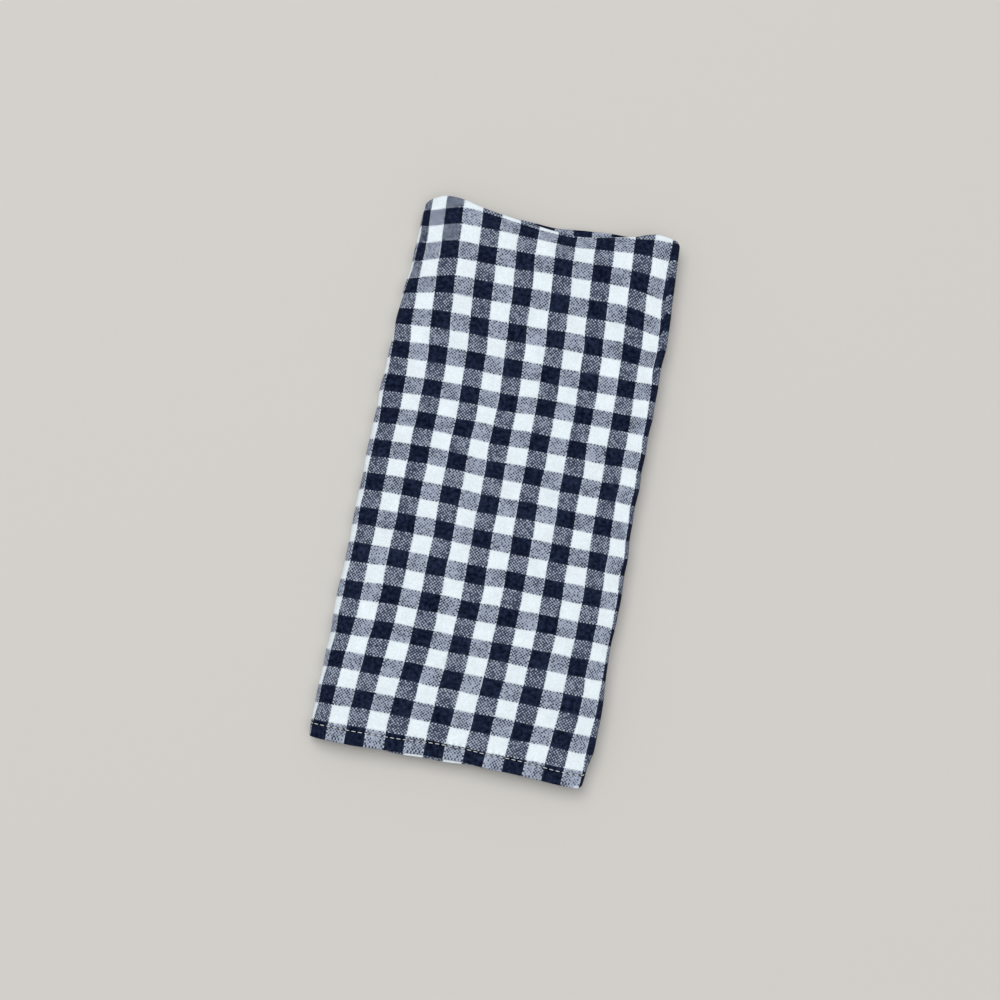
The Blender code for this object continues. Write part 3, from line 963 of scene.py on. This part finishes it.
def stitch_line(line, outward):
    """The vertices and faces of a row of stitches along a line on the cloth."""
    step = np.linalg.norm(np.diff(line, axis=0), axis=1)
    path = np.concatenate([[0.0], np.cumsum(step)])
    starts = np.arange(STITCH_PITCH / 2, path[-1] - STITCH_PITCH, STITCH_PITCH)
    share = np.linspace(0, 1, STITCH_RINGS)
    at = starts[:, None] + share[None, :] * STITCH_LENGTH
    centre = np.stack([np.interp(at, path, line[:, k]) for k in range(3)], -1)
    up = np.stack([np.interp(at, path, outward[:, k]) for k in range(3)], -1)
    up /= np.linalg.norm(up, axis=-1, keepdims=True)
    ahead = np.gradient(centre, axis=1)
    ahead /= np.linalg.norm(ahead, axis=-1, keepdims=True)
    aside = np.cross(ahead, up)
    arch = np.sin(math.pi * share)[None, :, None]
    centre = centre + up * (STITCH_RISE * arch - STITCH_SINK)
    radius = THREAD_RADIUS * (THREAD_END + THREAD_SWELL * arch)
    turn = np.arange(STITCH_SIDES) * 2 * math.pi / STITCH_SIDES
    cosine, sine = np.cos(turn)[:, None], np.sin(turn)[:, None]
    outwards = aside[:, :, None] * cosine + up[:, :, None] * sine
    ring = centre[:, :, None] + radius[:, :, None] * outwards
    index = np.arange(ring[..., 0].size).reshape(ring.shape[:3])
    following = np.roll(index, -1, axis=2)
    sides = np.stack([index[:, :-1], following[:, :-1], following[:, 1:], index[:, 1:]], -1)
    ends = [index[:, 0, ::-1], index[:, -1]]
    faces = sides.reshape(-1, 4).tolist() + [f for end in ends for f in end.tolist()]
    return ring.reshape(-1, 3), faces


def make_stitches(face, back, normals, material):
    """The lockstitches of all four hems, on the face and on the back of the cloth."""
    at = EDGE_MARKS.index(STITCH_INSET)
    within = slice(at, -at)
    cuts = ((within, at), (within, -1 - at), (at, within), (-1 - at, within))
    lines = []
    for skin, way in ((face, 1), (back, -1)):
        lines += [(skin[cut], normals[cut] * way) for cut in cuts]
    vertices, faces, first = [], [], 0
    for line, outward in lines:
        points, polygons = stitch_line(line, outward)
        vertices.append(points)
        faces += [[i + first for i in polygon] for polygon in polygons]
        first += len(points)
    mesh = bpy.data.meshes.new("hem_stitches")
    mesh.from_pydata((np.concatenate(vertices) * MM).tolist(), [], faces)
    mesh.update()
    mesh.shade_smooth()
    return place_in_scene("hem_stitches", mesh, material)


FLOOR_COLOUR = (0.62, 0.60, 0.565, 1.0)
FLOOR_SIZE = 6.0
FLOOR_DROP = 0.0002


def make_floor():
    """A plain pale floor under the napkin."""
    bpy.ops.mesh.primitive_plane_add(size=FLOOR_SIZE, location=(0, 0, -FLOOR_DROP))
    floor = bpy.context.object
    floor.name = "floor"
    floor.data.materials.append(Nodes("pale_floor").finish(Base_Color=FLOOR_COLOUR, Roughness=0.95))


# The camera stands over the hem end and looks down on the pile, turned with the photograph.
CAMERA_TARGET = (-2.5, 108.0, 9.5)
CAMERA_DISTANCE = 1000.0
CAMERA_TILT = math.radians(8.0)
CAMERA_ROLL = math.radians(10.33)
CAMERA_LENS = 88.7


def make_camera(shift):
    """The photograph's view, nearly from above, moved with the centred pile."""
    data = bpy.data.cameras.new("camera")
    data.sensor_width = 36.0
    data.lens = CAMERA_LENS
    data.clip_start = 0.01
    camera = bpy.data.objects.new("camera", data)
    bpy.context.scene.collection.objects.link(camera)
    target = (np.array(CAMERA_TARGET) - shift) * MM
    back = np.array([0.0, -math.sin(CAMERA_TILT), math.cos(CAMERA_TILT)])
    camera.location = Vector(target + back * CAMERA_DISTANCE * MM)
    turn = Vector(-back).to_track_quat("-Z", "Y").to_matrix().to_4x4()
    roll = Matrix.Rotation(CAMERA_ROLL, 4, "Z")
    camera.rotation_euler = (turn @ roll).to_euler()
    bpy.context.scene.camera = camera


# The lamps, in metres, all aimed at the napkin.
Lamp = namedtuple("Lamp", "name place size power colour")
LAMPS = (
    Lamp("key", (-0.9, 0.9, 3.5), 2.8, 70.8, (1.0, 0.99, 0.98)),
    Lamp("fill", (0.9, -0.7, 3.4), 2.8, 28.0, (0.98, 0.99, 1.0)),
)
ROOM_COLOUR = (0.97, 0.98, 1.0, 1.0)
ROOM_STRENGTH = 0.45


def make_lighting():
    """Soft studio light from above and a little from the left."""
    for row in LAMPS:
        data = bpy.data.lights.new(row.name, "AREA")
        data.shape = "DISK"
        data.size = row.size
        data.energy = row.power
        data.color = row.colour
        lamp = bpy.data.objects.new(row.name, data)
        bpy.context.scene.collection.objects.link(lamp)
        lamp.location = row.place
        lamp.rotation_euler = (-Vector(row.place)).to_track_quat("-Z", "Y").to_euler()
    world = bpy.data.worlds.new("studio")
    world.use_nodes = True
    background = world.node_tree.nodes["Background"]
    background.inputs["Color"].default_value = ROOM_COLOUR
    background.inputs["Strength"].default_value = ROOM_STRENGTH
    bpy.context.scene.world = world
    bpy.context.scene.view_settings.view_transform = "Standard"


def main():
    points, normals, edge_distance, maps = fold_cloth()
    face, back = skins(points, normals, edge_distance)
    both = np.concatenate([face.reshape(-1, 3), back.reshape(-1, 3)])
    low, high = both.min(0), both.max(0)
    shift = np.array([(low[0] + high[0]) / 2, (low[1] + high[1]) / 2, 0.0])
    face, back = face - shift, back - shift
    mesh = sheet_mesh("folded_cloth", face, back, maps)
    cloth = place_in_scene("folded_cloth", mesh, gingham_cotton())
    stitches = make_stitches(face, back, normals, thread_cotton())
    for piece in (cloth, stitches):
        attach(piece, "root")
    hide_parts("napkin")
    make_floor()
    make_camera(shift)
    make_lighting()


main()
